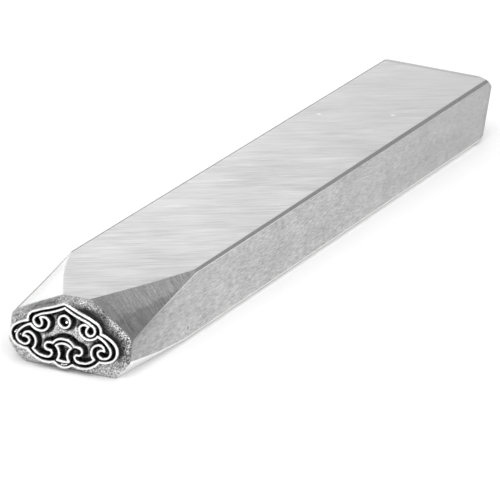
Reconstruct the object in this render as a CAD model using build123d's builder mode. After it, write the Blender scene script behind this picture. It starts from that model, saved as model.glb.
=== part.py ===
import os

from build123d import *

# Leatherworking stamp: one bar of stainless steel, with an ornament in relief on its front end.
# Millimetres. The bar lies flat on its wide side: +X across, +Y from the stamping end to the
# struck end, +Z up. The origin is under the middle of the bar, on the plane that it lies on.

# Bar
WIDTH = 15.0
THICKNESS = 8.0
LENGTH = 105.0
EDGE_BREAK = 0.32           # chamfer along the two upper long edges
LOWER_BREAK = 0.6           # chamfer along the two lower ones

HALF_WIDTH = WIDTH / 2
FRONT = -LENGTH / 2         # the plane that meets the leather

# Relief, as depths behind the stamping plane
RIDGE = 0.28                # width of every raised line
FIELD_DEPTH = 0.55          # floor inside the inner line, where the ring stands
GROOVE_DEPTH = 0.85         # floor between the outer and the inner line
SHOULDER_DEPTH = 1.1        # flat of the bar around the ornament
SHOULDER_ROUND = 1.1        # rounded rim of that flat
RING_RADIUS = 0.69
RING_HEIGHT = 5.83

# Struck end: ground so that it leans, with its underside nearer the front
END_LEAN = 0.333            # for each millimetre of height
END_BREAK = 0.75            # broken top edge, from nothing on the left to this on the right

FACE = Plane.XZ.offset(-FRONT)      # faces the leather
FIELD = FACE.offset(-FIELD_DEPTH)
GROOVE = FACE.offset(-GROOVE_DEPTH)
SHOULDER = FACE.offset(-SHOULDER_DEPTH)


def at(x, y, z):
    """A point given across the bar, back from the stamping plane, and up from the underside."""
    return Vector(x, FRONT + y, z)


def arcs(*points):
    """A chain of arcs. Every second point is a joint and the ones between lie midway on an arc."""
    for start, middle, end in zip(points[0::2], points[1::2], points[2::2]):
        ThreePointArc(start, middle, end)


# Right halves of the outlines, seen from the stamping end: across the bar, and up from its
# underside. Each is the middle of its raised line.

def outer_outline():
    """Cloud-shaped border: a peaked top, two lobes on each side and a small sag below."""
    arcs((0, 7.89), (1.01, 7.45), (2.06, 7.04), (2.84, 6.77), (3.62, 6.43))
    arcs((3.62, 6.43), (4.29, 5.92), (4.42, 5.20))
    arcs((4.42, 5.20), (5.27, 4.90), (5.9, 4.5), (6.46, 3.55), (5.95, 2.38), (5.2, 2.06), (4.37, 1.98))
    arcs((4.37, 1.98), (3.38, 1.16), (2.2, 0.86), (1.65, 0.90), (1.10, 1.04))
    arcs((1.10, 1.04), (0.59, 0.72), (0, 0.58))


def inner_outline():
    """Inner line: the peak, an upper and a lower scroll on each side, and an arch below."""
    arcs((0, 7.40), (1.1, 6.84), (2.33, 6.40), (2.84, 6.22), (3.25, 5.98))
    arcs((3.25, 5.98), (3.72, 5.33), (3.30, 4.80), (2.75, 4.95), (2.70, 5.35), (2.79, 5.58), (2.92, 5.78))
    arcs((2.92, 5.78), (2.33, 5.9), (1.84, 5.45), (2.16, 4.59), (3.02, 4.31), (3.56, 4.45), (4.05, 4.86))
    arcs((4.05, 4.86), (4.9, 4.42), (5.55, 3.75), (5.65, 3.0), (5.0, 2.50), (4.35, 2.58), (4.13, 3.0))
    arcs((4.13, 3.0), (4.42, 3.32), (4.93, 3.34))
    arcs((4.93, 3.34), (4.64, 3.82), (4.05, 3.87), (3.44, 3.3), (3.72, 2.13))
    arcs((3.72, 2.13), (2.95, 1.6), (2.17, 1.48), (1.6, 1.6), (1.37, 1.97), (1.5, 2.22), (1.8, 2.28))
    arcs((1.8, 2.28), (2.26, 2.67), (1.91, 3.14), (1.6, 3.2), (1.27, 3.18))
    arcs((1.27, 3.18), (0.75, 3.67), (0, 3.82))


def vase_outline():
    """Small vase under the arch: a rounded lid over hollow sides and a nearly flat foot."""
    arcs((0, 3.32), (0.48, 3.22), (0.93, 2.94))
    arcs((0.93, 2.94), (0.5, 2.2), (0.73, 1.34))
    arcs((0.73, 1.34), (0.36, 1.27), (0, 1.25))


def area_of(half_outline):
    """The area inside a half outline and its mirror image."""
    with BuildSketch() as area:
        with BuildLine():
            half_outline()
            mirror(about=Plane.YZ)
        make_face()
    return area.sketch


def raised_line(area):
    """A line of the relief, which follows the edge of an area half inside and half outside it."""
    add(offset(area, amount=RIDGE / 2, mode=Mode.PRIVATE))
    add(offset(area, amount=-RIDGE / 2, mode=Mode.PRIVATE), mode=Mode.SUBTRACT)


def grind(a, b, c):
    """Grind off whatever lies beyond the plane through three points, seen from inside the bar."""
    outward = (b - a).cross(c - a)
    if outward.dot(a - at(0, LENGTH / 2, THICKNESS / 2)) < 0:
        outward = -outward
    split(bisect_by=Plane(origin=a, z_dir=outward), keep=Keep.BOTTOM)


cloud = area_of(outer_outline)
field = area_of(inner_outline)
vase = area_of(vase_outline)

with BuildPart() as stamp_body:
    # The bar, from its shoulder to the struck end
    with BuildSketch(SHOULDER):
        Rectangle(WIDTH, THICKNESS, align=(Align.CENTER, Align.MIN))
    extrude(amount=SHOULDER_DEPTH - LENGTH)
    lower_edges, upper_edges = stamp_body.edges().filter_by(Axis.Y).group_by(Axis.Z)
    chamfer(lower_edges, LOWER_BREAK)
    chamfer(upper_edges, EDGE_BREAK)

    # Four facets narrow it towards the ornament: upper right, upper left, lower right, lower left
    grind(at(2.0, 2.8, THICKNESS), at(HALF_WIDTH, 18.4, THICKNESS), at(HALF_WIDTH, 2.2, 4.65))
    grind(at(-1.4, 2.5, THICKNESS), at(-HALF_WIDTH, 17.4, THICKNESS), at(-HALF_WIDTH, 1.8, 5.1))
    grind(at(5.85, 1.3, 0), at(HALF_WIDTH, 19.0, 0), at(HALF_WIDTH, 1.4, 2.2))
    grind(at(-5.1, 1.2, 0), at(-HALF_WIDTH, 14.0, 0), at(-HALF_WIDTH, 1.2, 2.1))

    # Rounded rim of the shoulder
    fillet(stamp_body.faces().sort_by(Axis.Y)[0].edges(), SHOULDER_ROUND)

    # The struck end: it leans, and its top edge and three of its corners are broken
    top_left = at(-6.9, LENGTH, THICKNESS)
    top_right = at(HALF_WIDTH, LENGTH, THICKNESS)
    lower_right = top_right - Vector(0, END_LEAN, 1)
    grind(top_left, top_right, lower_right)
    grind(top_left, top_right - Vector(0, END_BREAK, 0), lower_right)
    grind(top_left, at(-HALF_WIDTH, 104.3, THICKNESS), at(-HALF_WIDTH, 104.6, 7.0))
    grind(at(5.8, 104.4, THICKNESS), at(HALF_WIDTH, 104.5, 7.0), at(HALF_WIDTH, 103.2, THICKNESS))
    grind(at(5.5, 102.3, 0), at(HALF_WIDTH, 102.7, 0.95), at(HALF_WIDTH, 100.2, 0.2))

    # The ornament's floors, rooted in the bar behind its rounded rim
    root_depth = SHOULDER_DEPTH + SHOULDER_ROUND
    with BuildSketch(GROOVE):
        add(offset(cloud, amount=RIDGE / 2, mode=Mode.PRIVATE))
    extrude(amount=GROOVE_DEPTH - root_depth)
    with BuildSketch(FIELD):
        add(field)
    extrude(amount=FIELD_DEPTH - GROOVE_DEPTH)

    # Its raised lines: border, scrolls, vase and ring
    with BuildSketch(FACE):
        raised_line(cloud)
        raised_line(field)
        raised_line(vase)
        with Locations((0, RING_HEIGHT)):
            Circle(RING_RADIUS + RIDGE / 2)
            Circle(RING_RADIUS - RIDGE / 2, mode=Mode.SUBTRACT)
    extrude(amount=-GROOVE_DEPTH)

    # The peak of the border is flush with the top of the bar
    split(bisect_by=Plane.XY.offset(THICKNESS), keep=Keep.BOTTOM)

stamp_body.part.label = "stamp_body"

os.makedirs("parts", exist_ok=True)
export_step(stamp_body.part, "parts/stamp_body.step")
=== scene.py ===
import math

import bpy
import numpy as np
from mathutils import Matrix, Vector, geometry, kdtree, noise

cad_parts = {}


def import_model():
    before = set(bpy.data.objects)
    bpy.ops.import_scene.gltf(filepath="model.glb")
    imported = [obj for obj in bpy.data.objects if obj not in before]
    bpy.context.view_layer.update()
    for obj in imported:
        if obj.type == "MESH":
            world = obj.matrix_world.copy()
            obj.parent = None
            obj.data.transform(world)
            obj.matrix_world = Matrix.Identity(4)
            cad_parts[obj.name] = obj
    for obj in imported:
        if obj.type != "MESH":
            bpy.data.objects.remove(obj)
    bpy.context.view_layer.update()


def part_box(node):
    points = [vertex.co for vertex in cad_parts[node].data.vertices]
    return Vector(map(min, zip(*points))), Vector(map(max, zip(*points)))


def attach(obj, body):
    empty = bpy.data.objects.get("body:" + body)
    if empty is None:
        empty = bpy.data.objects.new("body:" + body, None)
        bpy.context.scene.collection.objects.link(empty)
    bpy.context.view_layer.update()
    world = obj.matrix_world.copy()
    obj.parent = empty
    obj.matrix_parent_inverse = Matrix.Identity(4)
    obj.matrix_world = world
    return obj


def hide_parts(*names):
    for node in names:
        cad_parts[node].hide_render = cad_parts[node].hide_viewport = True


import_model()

# A leatherworking stamp: one bar of stainless steel with an ornament in relief on its front end.
# The tool's sizes are in millimetres until finished() turns them into the frame's metres. A place
# on the tool is x across the bar, s back from the stamping plane, and z up from the underside.

MM = 0.001
LOW, HIGH = (Vector(corner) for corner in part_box("stamp_body"))
HALF_WIDTH = (HIGH.x - LOW.x) / 2 / MM
LENGTH = (HIGH.y - LOW.y) / MM
THICKNESS = (HIGH.z - LOW.z) / MM
W, L, T = HALF_WIDTH, LENGTH, THICKNESS         # for the tables of planes and corners
ACROSS, BACK, UP = (1, 0, 0), (0, 1, 0), (0, 0, 1)


def ramp(low, high, value):
    """0 at low and beyond, 1 at high and beyond, and a straight line between them."""
    return np.clip((value - low) / (high - low), 0, 1)


def smoothstep(low, high, value):
    """0 at low and beyond, 1 at high and beyond, and an S-curve between them."""
    t = ramp(low, high, value)
    return t * t * (3 - 2 * t)


def circle(count):
    """Evenly spaced points around a circle of radius 1."""
    return np.exp(2j * math.pi * np.arange(count) / count)


# ---------------------------------------------------------------------------------------------
# The ornament's raised lines: their right halves, seen from the stamping end, as chains of arcs.
# An arc goes from one point through the next to the one after, where the chain's next arc starts.
# Chains meet at sharp corners.

CLOUD = [
    [(0, 7.89), (1.01, 7.45), (2.06, 7.04), (2.84, 6.77), (3.62, 6.43)],
    [(3.62, 6.43), (4.29, 5.92), (4.42, 5.20)],
    [(4.42, 5.20), (5.27, 4.90), (5.9, 4.5), (6.46, 3.55), (5.95, 2.38), (5.2, 2.06), (4.37, 1.98)],
    [(4.37, 1.98), (3.38, 1.16), (2.2, 0.86), (1.65, 0.90), (1.10, 1.04)],
    [(1.10, 1.04), (0.59, 0.72), (0, 0.58)],
]
SCROLLS = [
    [(0, 7.40), (1.1, 6.84), (2.33, 6.40), (2.84, 6.22), (3.25, 5.98)],
    [(3.25, 5.98), (3.72, 5.33), (3.30, 4.80), (2.75, 4.95), (2.70, 5.35), (2.79, 5.58), (2.92, 5.78)],
    [(2.92, 5.78), (2.33, 5.9), (1.84, 5.45), (2.16, 4.59), (3.02, 4.31), (3.56, 4.45), (4.05, 4.86)],
    [(4.05, 4.86), (4.9, 4.42), (5.55, 3.75), (5.65, 3.0), (5.0, 2.50), (4.35, 2.58), (4.13, 3.0)],
    [(4.13, 3.0), (4.42, 3.32), (4.93, 3.34)],
    [(4.93, 3.34), (4.64, 3.82), (4.05, 3.87), (3.44, 3.3), (3.72, 2.13)],
    [(3.72, 2.13), (2.95, 1.6), (2.17, 1.48), (1.6, 1.6), (1.37, 1.97), (1.5, 2.22), (1.8, 2.28)],
    [(1.8, 2.28), (2.26, 2.67), (1.91, 3.14), (1.6, 3.2), (1.27, 3.18)],
    [(1.27, 3.18), (0.75, 3.67), (0, 3.82)],
]
VASE = [
    [(0, 3.32), (0.48, 3.22), (0.93, 2.94)],
    [(0.93, 2.94), (0.5, 2.2), (0.73, 1.34)],
    [(0.73, 1.34), (0.36, 1.27), (0, 1.25)],
]
RING_CENTRE = (0, 5.83)
RING_RADIUS = 0.69
OUTLINE_STEP = 0.05         # between the points of the border as a polygon
LINE_DETAIL = 0.02          # between the points that distances to raised lines are measured from


def arc_points(start, middle, end, step):
    """Points on the arc through three points, about step apart, from start up to end."""
    a, b, c = (complex(*p) for p in (start, middle, end))
    w = (c - a) / (b - a)
    straight = 1e-6
    if abs(w.imag) < straight:
        count = max(2, round(abs(c - a) / step) + 1)
        return [a + (c - a) * t for t in np.linspace(0, 1, count)]
    centre = a + (b - a) * (w - abs(w) ** 2) / (2j * w.imag)
    turn = np.angle((b - centre) / (a - centre)) + np.angle((c - centre) / (b - centre))
    count = max(2, round(abs(turn * (a - centre)) / step) + 1)
    return [centre + (a - centre) * np.exp(1j * turn * t) for t in np.linspace(0, 1, count)]


def half_line(chains, step):
    """One half outline as points, with the direction of the line at each, and its sharp corners."""
    points, headings, corners = [], [], []
    for chain in chains:
        corners.append(complex(*chain[0]))
        for start, middle, end in zip(chain[0::2], chain[1::2], chain[2::2]):
            run = arc_points(start, middle, end, step)
            tangents = np.gradient(np.array(run))
            points += run
            headings += list(tangents / abs(tangents))
    corners.append(complex(*chains[-1][-1]))
    return np.array(points), np.array(headings), np.array(corners)


def mirrored(values):
    """The same values on the left half, run back so that the outline closes."""
    return -np.conj(values)[::-1]


def raised_lines(step):
    """Points along every raised line of the ornament, with headings, and its sharp corners."""
    points, headings, corners = [], [], []
    for chains in (CLOUD, SCROLLS, VASE):
        half_points, half_headings, half_corners = half_line(chains, step)
        points += [half_points, mirrored(half_points)]
        headings += [half_headings, mirrored(half_headings)]
        corners += [half_corners, mirrored(half_corners)]
    around = circle(round(2 * math.pi * RING_RADIUS / step))
    points.append(complex(*RING_CENTRE) + RING_RADIUS * around)
    headings.append(1j * around)
    return np.concatenate(points), np.concatenate(headings), np.concatenate(corners)


def cloud_polygon():
    """The border as one closed run of points."""
    right = half_line(CLOUD, OUTLINE_STEP)[0]
    return np.concatenate([right, mirrored(right)])


# ---------------------------------------------------------------------------------------------
# Surface heights: how far behind the stamping plane each place of an end lies.

RIDGE_FLAT = 0.10           # half width of the flat top of a raised line
RIDGE_FOOT = 0.18           # half width of its foot
FLARE = 0.12                # how much wider the border's foot is where the shoulder is deep
RECESS_DEPTH = 0.90         # floor beside a raised line
DOME_RISE = 0.36            # how much higher the floor is in the middle of a wide recess
DOME_SPAN = (0.2, 0.62)     # distances from a raised line between which it rises
SHOULDER_DEPTH = 1.15
SHOULDER_DROP = 0.55        # how much deeper it is at the upper right of the ornament
EDGE_BLEND = 0.06           # within this of the outer edge, everything drops to meet it
# Lumps of the worked surface: size and seed of the fine and the coarse ones, and their heights
FINE_LUMPS, COARSE_LUMPS = (0.16, 1.0), (0.42, 7.0)
RECESS_LUMPS = (0.035, 0.03)
SHOULDER_LUMPS = (0.04, 0.05)
# Bright chips in the recesses: place, radius and depth
CHIPS = [
    (complex(0.10, 5.66), 0.095, 0.45),
    (complex(-0.20, 0.88), 0.06, 0.2),
    (complex(0.06, 0.84), 0.05, 0.2),
    (complex(0.33, 0.94), 0.06, 0.2),
    (complex(-6.00, 3.55), 0.06, 0.25),
    (complex(-5.86, 3.78), 0.05, 0.25),
    (complex(-5.36, 3.38), 0.05, 0.25),
]
# How much deeper a chip gets for each millimetre to the right and up, so that it faces that way too
CHIP_SLOPE = complex(0.37, 0.70)


def grain(x, z, size, seed):
    """Smooth noise from -1 to 1, with lumps about size across."""
    return np.array([noise.noise(Vector((a / size, b / size, seed))) for a, b in zip(x, z)])


def inside(points, polygon):
    """Which points lie inside a closed polygon, by counting crossings."""
    result = np.zeros(len(points), bool)
    for a, b in zip(polygon, np.roll(polygon, -1)):
        rise = b.imag - a.imag
        if rise == 0:
            continue
        spans = (points.imag < b.imag) != (points.imag < a.imag)
        crossing = a.real + (points.imag - a.imag) * (b.real - a.real) / rise
        result ^= spans & (points.real < crossing)
    return result


def nearest(points, targets):
    """Distance from each point to the nearest target."""
    tree = kdtree.KDTree(len(targets))
    for i, target in enumerate(targets):
        tree.insert((target.real, target.imag, 0), i)
    tree.balance()
    return np.array([tree.find((p.real, p.imag, 0))[2] for p in points])


def from_edge(points, loop, values=None):
    """Distance of each point from a closed loop, and the loop's own values at the nearest place."""
    if values is None:
        values = np.zeros((len(loop), 1))
    best = np.full(len(points), np.inf)
    found = np.zeros((len(points), values.shape[1]))
    for a, b, at_a, at_b in zip(loop, np.roll(loop, -1), values, np.roll(values, -1, axis=0)):
        along = np.clip(((points - a) * np.conj(b - a)).real / abs(b - a) ** 2, 0, 1)
        distance = abs(points - a - along * (b - a))
        closer = distance < best
        best[closer] = distance[closer]
        found[closer] = (at_a + (at_b - at_a) * along[:, None])[closer]
    return best, found


def rounding(inwards):
    """1 at an edge and 0 from one radius inwards, with a quarter circle between. inwards is in radii."""
    return 1 - np.sqrt(1 - np.clip(1 - inwards, 0, 1) ** 2)


def lumps(x, z, heights):
    """The worked surface's fine and coarse lumps, with the given heights."""
    return heights[0] * grain(x, z, *FINE_LUMPS) + heights[1] * grain(x, z, *COARSE_LUMPS)


def front_depth(points, edge, edge_s, rim):
    """Depth of the ornament and its shoulder. edge is how far in from the outer edge each point lies,
    edge_s is how deep that edge is there, and rim how wide the shoulder's rounded rim."""
    x, z = points.real, points.imag
    from_line = nearest(points, raised_lines(LINE_DETAIL)[0])
    within = inside(points, cloud_polygon())

    wide = smoothstep(*DOME_SPAN, from_line)
    recess = RECESS_DEPTH - DOME_RISE * wide + lumps(x, z, RECESS_LUMPS) * wide
    for place, radius, chip_depth in CHIPS:
        chip = chip_depth + (np.conj(CHIP_SLOPE) * (points - place)).real
        recess = np.where(abs(points - place) < radius, chip, recess)

    deep = ramp(0.5, 4.5, x) * ramp(2.5, 5.5, z)
    shoulder = SHOULDER_DEPTH + SHOULDER_DROP * deep + lumps(x, z, SHOULDER_LUMPS)
    shoulder += (edge_s - shoulder) * rounding(edge / rim)

    between_lines = np.where(within, recess, shoulder)
    foot = RIDGE_FOOT + np.where(within, 0, FLARE * deep)
    depth = between_lines * smoothstep(RIDGE_FLAT, foot, from_line)
    return np.maximum(depth, edge_s * (1 - edge / EDGE_BLEND))


END_LEAN = 0.333            # the struck end leans by this for each millimetre of height
END_BREAK = 0.75            # its broken top edge, from nothing on the left to this on the right
END_ROUND = 0.16
# The struck end's planes, each through three places (x, s, z). The bar ends at the foremost one.
END_TOP_LEFT = (-6.9, L, T)
END_LOWER_RIGHT = (W, L - END_LEAN, T - 1)
END_PLANES = {
    "leaning face": (END_TOP_LEFT, (W, L, T), END_LOWER_RIGHT),
    "broken top edge": (END_TOP_LEFT, (W, L - END_BREAK, T), END_LOWER_RIGHT),
    "upper left corner": (END_TOP_LEFT, (-W, L - 0.7, T), (-W, L - 0.4, T - 1)),
    "upper right corner": ((5.8, L - 0.6, T), (W, L - 0.5, T - 1), (W, L - 1.8, T)),
    "lower right corner": ((5.5, L - 2.7, 0), (W, L - 2.3, 0.95), (W, L - 4.8, 0.2)),
}
PLANE_SHARPNESS = 20        # how sharply one plane gives way to the next; higher is sharper


def plane_s(a, b, c, x, z):
    """s at (x, z) on the plane through three (x, s, z) points."""
    normal = np.cross(np.subtract(b, a), np.subtract(c, a))
    return a[1] - (normal[0] * (x - a[0]) + normal[2] * (z - a[2])) / normal[1]


def end_depth(x, z):
    """How far back the struck end lies at each place, with its planes blended where they meet."""
    planes = [plane_s(*places, x, z) for places in END_PLANES.values()]
    return LENGTH - np.log(sum(np.exp(-PLANE_SHARPNESS * (s - LENGTH)) for s in planes)) / PLANE_SHARPNESS


# ---------------------------------------------------------------------------------------------
# The bar between its two ends, as eight corner lines that run back from the shoulder. In front
# the slanting sides between them are the ground facets; each runs out into an edge chamfer.

EDGE_BREAK = 0.32           # along the upper edges
LOWER_BREAK = 0.6
# Each corner line: its fixed side, s and place where it starts at the shoulder, s and place where
# it runs out, how far it bows between them, how wide the shoulder's rim is at its start, and how
# far the edge's rounding reaches
CORNERS = [
    {"z": T, "start": 2.7, "from": 1.9, "end": 17.5, "to": W - EDGE_BREAK, "bow": 0.13, "rim": 0.8,
     "round": 0.05},
    {"x": W, "start": 1.75, "from": 4.55, "end": 17.6, "to": T - EDGE_BREAK, "bow": 0.08, "rim": 0.5,
     "round": 0.05},
    {"x": W, "start": 1.35, "from": 2.15, "end": 15.5, "to": LOWER_BREAK, "bow": -0.2, "rim": 0.3,
     "round": 0.08},
    {"z": 0, "start": 1.35, "from": 5.85, "end": 16.5, "to": W - LOWER_BREAK, "bow": 0.0, "rim": 0.25,
     "round": 0.08},
    {"z": 0, "start": 1.35, "from": -5.1, "end": 13.0, "to": LOWER_BREAK - W, "bow": -0.05, "rim": 0.25,
     "round": 0.08},
    {"x": -W, "start": 1.9, "from": 2.0, "end": 13.0, "to": LOWER_BREAK, "bow": -0.05, "rim": 0.9,
     "round": 0.12},
    {"x": -W, "start": 3.0, "from": 5.05, "end": 16.3, "to": T - EDGE_BREAK, "bow": -0.08, "rim": 1.1,
     "round": 0.20},
    {"z": T, "start": 2.5, "from": -1.37, "end": 15.8, "to": EDGE_BREAK - W, "bow": -0.34, "rim": 0.9,
     "round": 0.16},
]
# Sides in the same order, each from its corner to the next: its steel, how many pieces across it
# has, and how far it bulges in front
SIDES = [
    ("right_facet", 26, 0.05), ("narrow", 26, 0), ("lower_facet", 14, 0.05), ("wide", 44, 0),
    ("lower_facet", 14, 0.3), ("narrow", 26, 0), ("left_facet", 26, 0.05), ("wide", 44, 0),
]
# Steel of the rounded edge at each corner, along the facets and behind them. The bright edges carry a
# painted highlight, the dark edges a painted shadow line, and the lower edges the lower facets' painted
# light.
EDGES = [
    ("highlight_edge", "highlight_edge"), ("highlight_edge", "highlight_edge"), ("lower_facet", "lower_facet"),
    ("lower_facet", "lower_facet"), ("lower_facet", "lower_facet"), ("lower_facet", "lower_facet"),
    ("shadow_line_edge", "edge"), ("wide", "shadow_line_edge"),
]
# Behind their run-outs, these are chamfers of edge steel
UPPER_FACETS = ("right_facet", "left_facet")
FRONT_STEPS = 44            # along the facets
BACK_STEPS = 56             # from there to the struck end
ROUND_PIECES = 4            # across each rounded edge


def corner_at(corner, step):
    """Place (x, s, z) of a corner line at a step, counted from the shoulder to its run-out."""
    t = min(step / FRONT_STEPS, 1)
    s = corner["start"] + (corner["end"] - corner["start"]) * t
    moving = corner["from"] + (corner["to"] - corner["from"]) * t + corner["bow"] * math.sin(math.pi * t)
    return np.array([corner.get("x", moving), s, corner.get("z", moving)])


def section(step):
    """Points around the bar at a step, and for each the side or edge that starts there."""
    corners = [corner_at(corner, step) for corner in CORNERS]
    in_front = 1 - min(step / FRONT_STEPS, 1)
    points, kinds = [], []
    for i, (kind, count, bulge) in enumerate(SIDES):
        before, here = corners[i - 1], corners[i]
        after = corners[(i + 1) % len(corners)]
        reach, reach_after = CORNERS[i]["round"], CORNERS[(i + 1) % len(CORNERS)]["round"]
        reach_back = here + (before - here) * reach / np.linalg.norm(before - here)
        reach_on = here + (after - here) * reach / np.linalg.norm(after - here)
        for t in np.arange(ROUND_PIECES) / ROUND_PIECES:
            points.append(reach_back * (1 - t) ** 2 + here * 2 * t * (1 - t) + reach_on * t * t)
            kinds.append(EDGES[i][step >= FRONT_STEPS])
        stop = after + (here - after) * reach_after / np.linalg.norm(after - here)
        run = stop - reach_on
        outward = np.array([-run[2], 0, run[0]]) / np.linalg.norm(run)
        for t in np.arange(count) / count:
            hump = 4 * t * (1 - t)
            points.append(reach_on + run * t + outward * bulge * in_front ** 2 * hump)
            kinds.append("edge" if kind in UPPER_FACETS and step >= FRONT_STEPS else kind)
    points = np.array(points)
    behind = max(0, step - FRONT_STEPS) / BACK_STEPS
    s_end = end_depth(points[:, 0], points[:, 2]) - END_ROUND
    points[:, 1] += (s_end - points[:, 1]) * behind
    return points, kinds


def rim_widths():
    """Width of the shoulder's rim at each point of the first section."""
    widths = []
    for i, (_, count, _) in enumerate(SIDES):
        here, after = CORNERS[i]["rim"], CORNERS[(i + 1) % len(CORNERS)]["rim"]
        widths += [here] * ROUND_PIECES + [here + (after - here) * t / count for t in range(count)]
    return np.array(widths)


# ---------------------------------------------------------------------------------------------
# Meshing

LINE_STEP = 0.065           # between mesh points along a raised line
# Distances from the middle of a raised line at which mesh points follow it. The first ones win
# where there isn't room for all.
LINE_OFFSETS = (0, RIDGE_FLAT, 0.12, RIDGE_FOOT, 0.14, 0.16, 0.05, 0.22, 0.28, 0.34)
LINE_TOLERANCE = 0.004      # how much nearer than that a point may lie to another stretch of line
LINE_MARGIN = 0.03          # how near the outer edge such points may lie
CORNER_POINTS = 16          # in the circle around each sharp corner of a line
CHIP_POINTS = 8             # in each circle around a chip
CHIP_CIRCLES = (0, 0.5, 0.98, 1.2)              # their radii, in radii of the chip
CHIP_SPACING = 0.008
RIM_STEP = 0.11             # between mesh points along the shoulder's rim
RIM_TURNS = (8, 16, 25, 35, 45, 55, 65, 75)     # degrees that the widest rim has turned at its lines
FRONT_GRID = 0.105          # between mesh points elsewhere on the front
END_STEP = 0.25             # between mesh points along the struck end's rounding
END_LINES = (0.04, 0.15, 0.32, 0.6, 1.0)        # where its lines lie, in radii of the rounding
END_GRID = 0.3


class Scatter:
    """Places to mesh, each further from all earlier ones than the spacing it is added with."""

    CELL = 0.2              # side of the cells in which near places are looked up: the largest spacing

    def __init__(self):
        self.places = []
        self.cells = {}

    def add(self, places, spacing):
        for p in places:
            column, row = math.floor(p.real / self.CELL), math.floor(p.imag / self.CELL)
            near = (
                q
                for i in (column - 1, column, column + 1)
                for j in (row - 1, row, row + 1)
                for q in self.cells.get((i, j), ())
            )
            if all(abs(p - q) > spacing for q in near):
                self.places.append(p)
                self.cells.setdefault((column, row), []).append(p)


def dense_loop(loop, step):
    """The loop with more points on its long stretches, and the inward normal at each."""
    points, normals = [], []
    for a, b in zip(loop, np.roll(loop, -1)):
        count = max(1, round(abs(b - a) / step))
        points += [a + (b - a) * (t + 0.5) / count for t in range(count)]
        normals += [1j * (b - a) / abs(b - a)] * count
    return np.array(points), np.array(normals)


def inward_lines(scatter, loop, offsets, step):
    """Scatter points along lines at each offset inside the loop."""
    points, normals = dense_loop(loop, step)
    for offset in offsets:
        line = points + normals * offset
        clear_of_corners = from_edge(line, loop)[0] > offset * 0.98
        scatter.add(line[clear_of_corners], step * 0.45 if offset > step else offset * 0.5)


def grid(loop, step):
    """A triangular grid of points that covers the loop."""
    low = complex(loop.real.min(), loop.imag.min())
    high = complex(loop.real.max(), loop.imag.max())
    rows = np.arange(low.imag, high.imag, step * math.sqrt(0.75))
    return np.array([
        complex(x + (step / 2 if i % 2 else 0), z)
        for i, z in enumerate(rows)
        for x in np.arange(low.real, high.real, step)
    ])


def fill_in(scatter, loop, step, margin, spacing):
    """Scatter a grid of points over the inside of the loop, but for a margin along it."""
    fill = grid(loop, step)
    fill = fill[inside(fill, loop)]
    fill = fill[from_edge(fill, loop)[0] > margin]
    scatter.add(fill, spacing)


def triangulated(loop, places):
    """Delaunay triangles over a loop and the places inside it, anticlockwise. The loop is first."""
    points = [Vector((p.real, p.imag)) for p in (*loop, *places)]
    edges = [(i, (i + 1) % len(loop)) for i in range(len(loop))]
    inside_only, tolerance = 1, 1e-6
    verts, _, faces, came_from, _, _ = geometry.delaunay_2d_cdt(points, edges, [], inside_only, tolerance)
    assert len(verts) == len(points)
    index = [origins[0] for origins in came_from]
    return [tuple(index[v] for v in face) for face in faces]


def front_places(loop):
    """Mesh points for the ornament's end, lined up with its raised lines and with its rim."""
    scatter = Scatter()
    scatter.add(loop, 0)
    points, headings, corners = raised_lines(LINE_STEP)
    dense = raised_lines(LINE_DETAIL)[0]
    for offset in LINE_OFFSETS:
        fans = corners[:, None] + offset * circle(CORNER_POINTS)[None, :]
        line = np.concatenate([
            points + 1j * headings * offset,
            points - 1j * headings * offset,
            fans.ravel(),
        ])
        line = line[nearest(line, dense) > offset - LINE_TOLERANCE]
        line = line[inside(line, loop)]
        line = line[from_edge(line, loop)[0] > LINE_MARGIN]
        scatter.add(line, LINE_STEP * 0.3)
    for place, radius, _ in CHIPS:
        for reach in CHIP_CIRCLES:
            scatter.add(place + radius * reach * circle(CHIP_POINTS), CHIP_SPACING)
    widest = max(corner["rim"] for corner in CORNERS)
    rim = [widest * (1 - math.cos(math.radians(turn))) for turn in RIM_TURNS]
    inward_lines(scatter, loop, rim, RIM_STEP)
    fill_in(scatter, loop, FRONT_GRID, margin=0.08, spacing=0.07)
    return np.array(scatter.places[len(loop):])


def end_places(loop):
    """Mesh points for the struck end."""
    scatter = Scatter()
    scatter.add(loop, 0)
    inward_lines(scatter, loop, [END_ROUND * radii for radii in END_LINES], END_STEP)
    fill_in(scatter, loop, END_GRID, margin=END_ROUND * 1.3, spacing=0.2)
    return np.array(scatter.places[len(loop):])


def as_plane(points):
    """Places (x, s, z) seen along the bar."""
    return points[:, 0] + 1j * points[:, 2]


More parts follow.
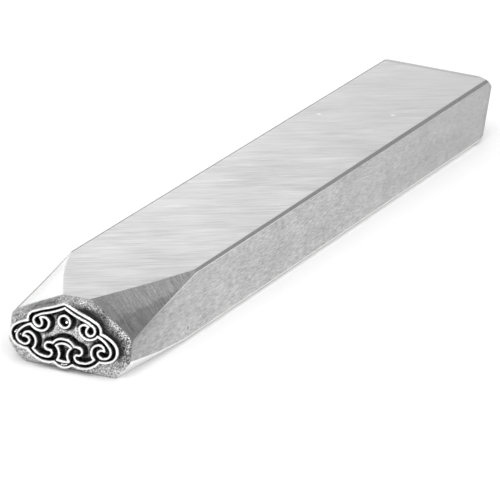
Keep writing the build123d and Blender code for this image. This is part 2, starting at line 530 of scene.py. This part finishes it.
def bar_mesh():
    """Vertices in millimetres, faces, and the kind of surface of each face."""
    steps = FRONT_STEPS + BACK_STEPS
    sections = [section(step) for step in range(steps + 1)]
    around = len(sections[0][1])
    vertices = [tuple(p) for points, _ in sections for p in points]
    faces, kinds = [], []
    for step in range(steps):
        for i in range(around):
            a, b = step * around + i, step * around + (i + 1) % around
            faces.append((a, b, b + around, a + around))
            kinds.append(sections[step][1][i])

    # The section runs clockwise seen from the front, so it is reversed where a polygon is needed.
    rim = sections[0][0][::-1]
    loop = as_plane(rim)
    places = front_places(loop)
    edge, found = from_edge(places, loop, np.column_stack([rim[:, 1], rim_widths()[::-1]]))
    depth = front_depth(places, edge, *found.T)
    first = len(vertices)
    vertices += [(p.real, d, p.imag) for p, d in zip(places, depth)]
    index = list(range(around))[::-1] + list(range(first, len(vertices)))
    for face in triangulated(loop, places):
        faces.append(tuple(index[v] for v in face))
        kinds.append("relief")

    back = sections[-1][0][::-1]
    loop = as_plane(back)
    places = end_places(loop)
    edge, _ = from_edge(places, loop)
    depth = end_depth(places.real, places.imag) - END_ROUND * rounding(edge / END_ROUND)
    first = len(vertices)
    vertices += [(p.real, d, p.imag) for p, d in zip(places, depth)]
    last_section = list(range(steps * around, (steps + 1) * around))
    index = last_section[::-1] + list(range(first, len(vertices)))
    for face in triangulated(loop, places):
        faces.append(tuple(index[v] for v in face[::-1]))
        kinds.append("struck")
    return vertices, faces, kinds


# ---------------------------------------------------------------------------------------------
# Materials


class Nodes:
    """Short names for the nodes of one material."""

    def __init__(self, name):
        self.material = bpy.data.materials.new(name)
        self.material.use_nodes = True
        self.tree = self.material.node_tree
        self.shader = self.tree.nodes["Principled BSDF"]

    def node(self, kind, **inputs):
        """A new node with its inputs plugged, by name."""
        made = self.tree.nodes.new(kind)
        for name, value in inputs.items():
            self.plug(value, made.inputs[name])
        return made

    def plug(self, value, socket):
        """Link another node's output to a socket, or set a plain value on it."""
        if isinstance(value, bpy.types.NodeSocket):
            self.tree.links.new(value, socket)
        else:
            socket.default_value = value

    def math(self, operation, a, b=0.0, c=0.0):
        made = self.tree.nodes.new("ShaderNodeMath")
        made.operation = operation
        for value, socket in zip((a, b, c), made.inputs):
            self.plug(value, socket)
        return made.outputs[0]

    def remap(self, value, from_low, from_high, to_low, to_high):
        """A value moved from one range to another, and held at its ends."""
        made = self.tree.nodes.new("ShaderNodeMapRange")
        for v, socket in zip((value, from_low, from_high, to_low, to_high), made.inputs):
            self.plug(v, socket)
        return made.outputs[0]

    def mix(self, a, b, share):
        """A blend of two values with the given share of b."""
        return self.math("ADD", self.math("MULTIPLY", a, 1 - share), self.math("MULTIPLY", b, share))

    def product(self, first, *others):
        """All the values multiplied."""
        for other in others:
            first = self.math("MULTIPLY", first, other)
        return first

    def place(self, along=ACROSS, normal=UP):
        """Position on the tool in millimetres: along its grinding lines, across, and outwards."""
        x = Vector(along).normalized()
        z = (Vector(normal) - x * x.dot(Vector(normal))).normalized()
        here = self.node("ShaderNodeTexCoord").outputs["Object"]
        turned = self.node("ShaderNodeMapping", Vector=here)
        turned.vector_type = "TEXTURE"
        turned.inputs["Rotation"].default_value = Matrix((x, z.cross(x), z)).transposed().to_euler()
        turned.inputs["Scale"].default_value = (MM, MM, MM)
        return turned.outputs[0]

    def vector_math(self, operation, a, b):
        """A vector node of an output and a plain vector."""
        made = self.tree.nodes.new("ShaderNodeVectorMath")
        made.operation = operation
        self.plug(a, made.inputs[0])
        made.inputs[1].default_value = b
        return made

    def measure(self, weights):
        """A place's own x, s and z in millimetres, each times its weight, added up."""
        here = self.vector_math("DOT_PRODUCT", self.place(), weights).outputs["Value"]
        return self.math("SUBTRACT", here, weights[1] * LOW.y / MM)

    def gradient(self, weights, measures, values):
        """One value up to the first measure, the other from the second on, and even between them."""
        return self.remap(self.measure(weights), *measures, *values)

    def spot(self, x, s, z, low, high):
        """1 closer than low to a place on the tool and 0 beyond high, in millimetres."""
        distance = self.vector_math("DISTANCE", self.place(), (x, s + LOW.y / MM, z)).outputs["Value"]
        return self.remap(distance, low, high, 1, 0)

    def stretched_noise(self, place, size, detail=2.0, rough=0.5):
        """Noise with lumps of the given size in millimetres along each axis, from 0 to 1."""
        scaled = self.vector_math("DIVIDE", place, size).outputs[0]
        made = self.node("ShaderNodeTexNoise", Vector=scaled, Scale=1.0, Detail=detail, Roughness=rough)
        return made.outputs[0]

    def lumps(self, size, detail=2.0, rough=0.5):
        """Noise with round lumps of the given size in millimetres, from 0 to 1."""
        return self.stretched_noise(self.place(), (size, size, size), detail, rough)

    def grey(self, value):
        return self.node("ShaderNodeCombineColor", Red=value, Green=value, Blue=value).outputs[0]

    def bump(self, height, distance):
        """Relief that rises by a distance in millimetres as height goes from 0 to 1."""
        made = self.node("ShaderNodeBump", Height=height, Strength=1.0, Distance=distance * MM)
        self.plug(made.outputs[0], self.shader.inputs["Normal"])


NOISE_LOW, NOISE_HIGH = 0.3, 0.7            # nearly all of a noise's values lie between these
STREAK_LENGTH, STREAK_WIDTH = 2.5, 4        # of a broad streak, in lengths and widths of a grinding line
BAND_LENGTH, BAND_WIDTH = 3, 5.0            # of a band, in lengths of a line and in millimetres
BAND_SHARE = 0.6                            # of bands, for each share of broad streaks
ROUGHNESS_SPREAD = 0.06                     # how much rougher and smoother than the rest lines may be
LINE_RELIEF = 0.012
GRIT_RELIEF = 0.10


def steel(name, tone, roughness, along, normal, line, contrast, broad, marks=None):
    """Ground steel. along is the direction of its grinding lines, line their length and width, and
    broad the share of broad streaks among them. normal is the way the surface faces, and marks makes
    a factor of the tone."""
    n = Nodes(name)
    place = n.place(along, normal)
    length, width = line
    across_streak = width * STREAK_WIDTH
    fine = n.stretched_noise(place, (length, width, width), detail=3, rough=0.65)
    streak = n.stretched_noise(place, (length * STREAK_LENGTH, across_streak, across_streak))
    band = n.stretched_noise(place, (length * BAND_LENGTH, BAND_WIDTH, BAND_WIDTH), detail=1)
    lines = n.mix(fine, streak, broad)
    uneven = n.mix(lines, band, broad * BAND_SHARE)
    spread = n.remap(uneven, NOISE_LOW, NOISE_HIGH, -contrast, contrast)
    fainter_far_back = n.gradient(BACK, (50, 100), (1.0, 0.45))
    shade = n.math("MULTIPLY_ADD", n.math("MULTIPLY", spread, fainter_far_back), tone, tone)
    if marks:
        shade = n.math("MULTIPLY", shade, marks(n))
    n.plug(n.grey(shade), n.shader.inputs["Base Color"])
    rougher, smoother = roughness + ROUGHNESS_SPREAD, roughness - ROUGHNESS_SPREAD
    n.plug(n.remap(lines, NOISE_LOW, NOISE_HIGH, rougher, smoother), n.shader.inputs["Roughness"])
    n.shader.inputs["Metallic"].default_value = 1.0
    n.bump(lines, LINE_RELIEF)
    return n.material


def painted_light_and_ding_glints(n):
    """Painted light: lighter in front, where more light falls, and on the left, less so at the ornament,
    with two dings far back drawn only as painted glints.
    """
    radii = (0.1, 0.4)
    # The dings are painted glints only, bright spots in the tone
    right_ding_glint = n.spot(3.13, 83.0, THICKNESS, *radii)
    left_ding_glint = n.spot(-4.77, 78.5, THICKNESS, *radii)
    return n.product(
        n.gradient(BACK, (15, 95), (1.16, 0.95)),
        n.gradient(BACK, (10, 24), (0.91, 1.0)),
        n.gradient(ACROSS, (-HALF_WIDTH, HALF_WIDTH), (1.085, 0.955)),
        n.remap(n.math("MAXIMUM", right_ding_glint, left_ding_glint), 0, 1, 1.0, 1.45),
    )


def pit_and_painted_light(n):
    """Darker at both ends and beside the right facet, with painted light low down against the shade near
    the floor, and a pit near the front drawn as painted shade in its hole and a painted highlight on its
    lip.
    """
    pit = (HALF_WIDTH, 15.9, 1.73)
    # The pit: painted shade in its hole and a painted highlight on its lip
    painted_pit_shade = n.remap(n.spot(*pit, 0.15, 0.35), 0, 1, 1.0, 0.4)
    painted_lip_highlight = n.math("MULTIPLY", n.spot(*pit, 0.4, 0.65), 0.2)
    upper = n.gradient((0, -0.2, 1), (3.2, 4.15), (1.0, 0.76))
    return n.product(
        n.math("ADD", painted_pit_shade, painted_lip_highlight),
        n.gradient(BACK, (2, 14), (0.75, 1.0)),
        n.gradient(BACK, (60, 100), (1.0, 0.86)),
        # painted light low down, against the shade near the floor
        n.gradient(UP, (0.6, 3.0), (1.13, 1.0)),
        n.math("MAXIMUM", upper, n.gradient(BACK, (8, 14), (0.76, 1.0))),
    )


def dark_outer_edge(n):
    """Darker in a thin strip along the left side."""
    return n.gradient(ACROSS, (0.22 - HALF_WIDTH, 0.54 - HALF_WIDTH), (0.08, 1.0))


def second_pass_shade(n):
    """Darker on its right part, where it was ground again, with that darkness painted shade where the part
    turns from the light, and darker in front, with grit all over.
    """
    again = n.math("ADD", n.measure((1, -0.22, 0)), n.lumps(1.5))
    return n.product(
        # painted shade on the part that was ground again
        n.remap(again, 4.9, 5.2, 1.0, 0.74),
        n.remap(n.lumps(0.25), NOISE_LOW, NOISE_HIGH, 0.85, 1.15),
        n.gradient(BACK, (3, 9), (0.84, 1.05)),
    )


def painted_highlight_in_front(n):
    """Painted highlight along the facets, fainter beside the ornament and towards the struck end."""
    return n.product(
        n.gradient(BACK, (3, 11), (0.35, 1.0)),
        n.gradient(BACK, (22, 78), (1.0, 0.55)),
    )


def relief_steel():
    """Worked steel of the ornament: bright worn tops, painted shade that darkens the recesses and parts of
    the shoulder, and a grainy surface.
    """
    n = Nodes("relief_steel")
    # The painted shade of each vertex: 0 on the bright tops, 1 where shade is painted black
    painted_shade = n.node("ShaderNodeAttribute")
    painted_shade.attribute_name = "painted_shade"
    painted_shade = painted_shade.outputs["Fac"]
    fine = n.lumps(0.15, detail=1, rough=0.6)
    worked = n.remap(painted_shade, 0.0, 0.7, 0.0, 1.6)
    grit = n.math("MULTIPLY", n.remap(fine, 0.36, 0.66, -0.52, 0.78), worked)
    # Painted shade takes the tone from bright to black
    bright_to_black = n.remap(painted_shade, 0, 1, 0.94, 0.02)
    patches = n.remap(n.lumps(0.6), NOISE_LOW, NOISE_HIGH, 0.85, 1.12)
    shade = n.product(bright_to_black, n.math("ADD", grit, 1), patches)
    n.plug(n.grey(shade), n.shader.inputs["Base Color"])
    n.plug(n.remap(painted_shade, 0, 0.3, 0.3, 0.44), n.shader.inputs["Roughness"])
    n.shader.inputs["Metallic"].default_value = 1.0
    n.bump(n.math("MULTIPLY", fine, worked), GRIT_RELIEF)
    return n.material


# The ground surfaces, by kind. They are one steel, and their tones differ partly by finish and partly as
# painted light, set to how light falls on each face.
STEELS = {
    "wide": dict(
        name="wide_face_steel", tone=0.67, roughness=0.32, along=(0.80, 0.60, 0), normal=UP,
        line=(3.5, 0.2), contrast=0.30, broad=0.4, marks=painted_light_and_ding_glints),
    "narrow": dict(
        name="narrow_face_steel", tone=0.47, roughness=0.36, along=BACK, normal=ACROSS,
        line=(1.1, 0.15), contrast=0.5, broad=0.22, marks=pit_and_painted_light),
    "right_facet": dict(
        name="right_facet_steel", tone=0.58, roughness=0.30, along=(0.75, -0.42, -0.52),
        normal=(0.49, -0.17, 0.85), line=(1.8, 0.16), contrast=0.52, broad=0.25, marks=second_pass_shade),
    "left_facet": dict(
        name="left_facet_steel", tone=0.80, roughness=0.28, along=(-0.75, -0.42, -0.52),
        normal=(-0.41, -0.17, 0.90), line=(3.0, 0.3), contrast=0.12, broad=0.4, marks=dark_outer_edge),
    # Painted light: a tone raised to look white where these faces see the shaded floor
    "lower_facet": dict(
        name="lower_facet_steel", tone=0.95, roughness=0.30, along=BACK, normal=UP,
        line=(3.0, 0.25), contrast=0.04, broad=0.4),
    "edge": dict(
        name="edge_steel", tone=0.52, roughness=0.28, along=BACK, normal=UP,
        line=(6.0, 0.3), contrast=0.12, broad=0.4),
    # Painted highlight along the upper right edges
    "highlight_edge": dict(
        name="highlight_edge_steel", tone=0.92, roughness=0.30, along=BACK, normal=UP,
        line=(6.0, 0.3), contrast=0.06, broad=0.4, marks=painted_highlight_in_front),
    # Painted shadow line along the upper left edges
    "shadow_line_edge": dict(
        name="shadow_line_edge_steel", tone=0.16, roughness=0.40, along=BACK, normal=UP,
        line=(6.0, 0.3), contrast=0.2, broad=0.4),
    "struck": dict(
        name="struck_end_steel", tone=0.78, roughness=0.36, along=ACROSS, normal=BACK,
        line=(6.0, 0.3), contrast=0.15, broad=0.4),
}


def plain(name, colour, roughness):
    """A material of one colour, for the floor."""
    n = Nodes(name)
    n.shader.inputs["Base Color"].default_value = (*colour, 1)
    n.shader.inputs["Roughness"].default_value = roughness
    return n.material


# ---------------------------------------------------------------------------------------------
# The tool


def painted_shade_in_recess(points, from_line):
    """Painted shade in the recesses: blackest beside the raised lines, greyer in the open, where the domed
    floor catches light, most of all under the ring, and none on the chips.
    """
    z = points.imag
    under_ring = smoothstep(5.8, 4.9, z) * smoothstep(2.2, 3.8, z)
    open_floor = smoothstep(0.26, 0.66, from_line)
    painted_shade = 0.96 - 0.17 * smoothstep(0.2, 0.5, from_line) - (0.06 + 0.37 * under_ring) * open_floor
    for place, radius, _ in CHIPS:
        painted_shade *= abs(points - place) > radius
    return painted_shade


def painted_shade_on_shoulder(points, from_line, depth):
    """Grey, blacker on the right as painted shade where the shoulder lies in shadow, most of all high on
    the border's flank there, blacker at the left, and close to the border as painted shade at its foot, and
    lighter beside the border's topmost point as a painted highlight."""
    x, z = points.real, points.imag
    left = smoothstep(-3, -5, x)
    upper_left = smoothstep(-0.5, -2.0, x) * smoothstep(5.0, 6.5, z)
    right = ramp(-0.2, 1.0, x) * ramp(0.9, 2.9, z)
    lower_right_corner = smoothstep(7.2, 7.4, x) * smoothstep(4.9, 4.5, z)
    painted_highlight_beside_apex = np.exp(-((x - 0.9) ** 2 + (z - 7.9) ** 2) / 0.9)
    up_the_flank = 1 - smoothstep(0.2, 1.7, depth)
    beside_line = 1 - smoothstep(0.3, 0.5, from_line)
    above_right = smoothstep(6.0, 7.2, z) * smoothstep(0, 0.6, x)

    painted_shade = 0.41 + 0.08 * left + 0.25 * upper_left
    painted_shade += 0.22 * right * (1 - painted_highlight_beside_apex) + 0.36 * right * up_the_flank - 0.22 * painted_highlight_beside_apex
    painted_shade += 0.15 * lower_right_corner
    return painted_shade + beside_line * (0.12 + 0.15 * above_right)


def painted_shade_at(x, z, depth):
    """Painted shade: 0 where the metal is bright, as on the worn tops, up to 1 where it is painted black.
    """
    points = x + 1j * z
    from_line = nearest(points, raised_lines(LINE_DETAIL)[0])
    within = inside(points, cloud_polygon())
    worked = np.where(within, painted_shade_in_recess(points, from_line), painted_shade_on_shoulder(points, from_line, depth))
    below_tops = smoothstep(0.02, 0.2, depth)
    return np.clip(worked, 0, 1) * below_tops


def finished():
    """The whole tool as one mesh in the frame's metres, with its steels."""
    vertices, faces, kinds = bar_mesh()
    mesh = bpy.data.meshes.new("stamp")
    mesh.from_pydata([(x * MM, LOW.y + s * MM, LOW.z + z * MM) for x, s, z in vertices], [], faces)
    slots = {kind: steel(**settings) for kind, settings in STEELS.items()}
    slots["relief"] = relief_steel()
    for material in slots.values():
        mesh.materials.append(material)
    order = list(slots)
    mesh.polygons.foreach_set("material_index", [order.index(kind) for kind in kinds])

    x, s, z = np.array(vertices).T
    in_front = np.zeros(len(vertices), bool)
    in_front[[v for face, kind in zip(faces, kinds) if kind == "relief" for v in face]] = True
    # Painted shade on the ornament's end, one value per vertex for its steel
    painted_shade = np.zeros(len(vertices))
    painted_shade[in_front] = painted_shade_at(x[in_front], z[in_front], s[in_front])
    layer = mesh.attributes.new("painted_shade", "FLOAT", "POINT")
    layer.data.foreach_set("value", painted_shade)

    mesh.polygons.foreach_set("use_smooth", [True] * len(faces))
    sharp_above = 40
    mesh.set_sharp_from_angle(angle=math.radians(sharp_above))
    mesh.update()
    stamp = bpy.data.objects.new("stamp", mesh)
    bpy.context.scene.collection.objects.link(stamp)
    return stamp


# ---------------------------------------------------------------------------------------------
# Stage, light and camera


def floor():
    """A pale square under the tool, in metres."""
    half = 3.0
    mesh = bpy.data.meshes.new("floor")
    corners = [(-half, -half, 0), (half, -half, 0), (half, half, 0), (-half, half, 0)]
    mesh.from_pydata(corners, [], [(0, 1, 2, 3)])
    mesh.materials.append(plain("floor_white", (0.95, 0.95, 0.95), 0.9))
    made = bpy.data.objects.new("floor", mesh)
    bpy.context.scene.collection.objects.link(made)
    return made


def softbox(name, azimuth, elevation, distance, width, height, radiance):
    """A rectangular light seen from the tool at an azimuth, from +Y towards +X, and elevation, in
    degrees. Its distance and size are in metres."""
    a, e = math.radians(azimuth), math.radians(elevation)
    direction = Vector((math.sin(a) * math.cos(e), math.cos(a) * math.cos(e), math.sin(e)))
    data = bpy.data.lights.new(name, "AREA")
    data.shape = "RECTANGLE"
    data.size, data.size_y = width, height
    data.energy = radiance * math.pi * width * height
    made = bpy.data.objects.new(name, data)
    made.location = direction * distance
    made.rotation_euler = direction.to_track_quat("Z", "Y").to_euler()
    bpy.context.scene.collection.objects.link(made)


def camera(azimuth, elevation, roll, aim, distance, lens):
    """A camera aimed at a point, in millimetres and degrees. At azimuth 0 it looks along +Y, and a
    larger azimuth takes it to the right."""
    a, e = math.radians(azimuth), math.radians(elevation)
    back = Vector((math.sin(a) * math.cos(e), -math.cos(a) * math.cos(e), math.sin(e)))
    data = bpy.data.cameras.new("camera")
    data.sensor_width = 36
    data.lens = lens
    data.clip_start = 0.01
    made = bpy.data.objects.new("camera", data)
    turn = back.to_track_quat("Z", "Y").to_matrix() @ Matrix.Rotation(math.radians(roll), 3, "Z")
    made.matrix_world = Matrix.Translation((Vector(aim) + back * distance) * MM) @ turn.to_4x4()
    bpy.context.scene.collection.objects.link(made)
    bpy.context.scene.camera = made


def world(radiance):
    """Even white light from all around."""
    made = bpy.data.worlds.new("studio")
    made.use_nodes = True
    background = made.node_tree.nodes["Background"]
    background.inputs["Color"].default_value = (1, 1, 1, 1)
    background.inputs["Strength"].default_value = radiance
    bpy.context.scene.world = made


camera(azimuth=23.89, elevation=18.65, roll=2.55, aim=(4.857, -14.64, 3.978), distance=578.0, lens=363.4)
bpy.context.scene.view_settings.view_transform = "Standard"
world(radiance=0.45)
softbox("back_softbox", -27, 17, 1.6, 1.0, 0.8, 0.57)
softbox("left_softbox", -53, 12, 1.8, 0.55, 0.8, 1.35)
softbox("front_softbox", 165, 48, 1.2, 0.9, 0.9, 2.8)
softbox("overhead_softbox", 180, 74, 1.2, 2.0, 1.8, 0.75)
softbox("right_softbox", 85, 22, 1.2, 2.2, 0.8, 0.75)
floor()

stamp = finished()
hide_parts("stamp_body")
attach(stamp, "root")
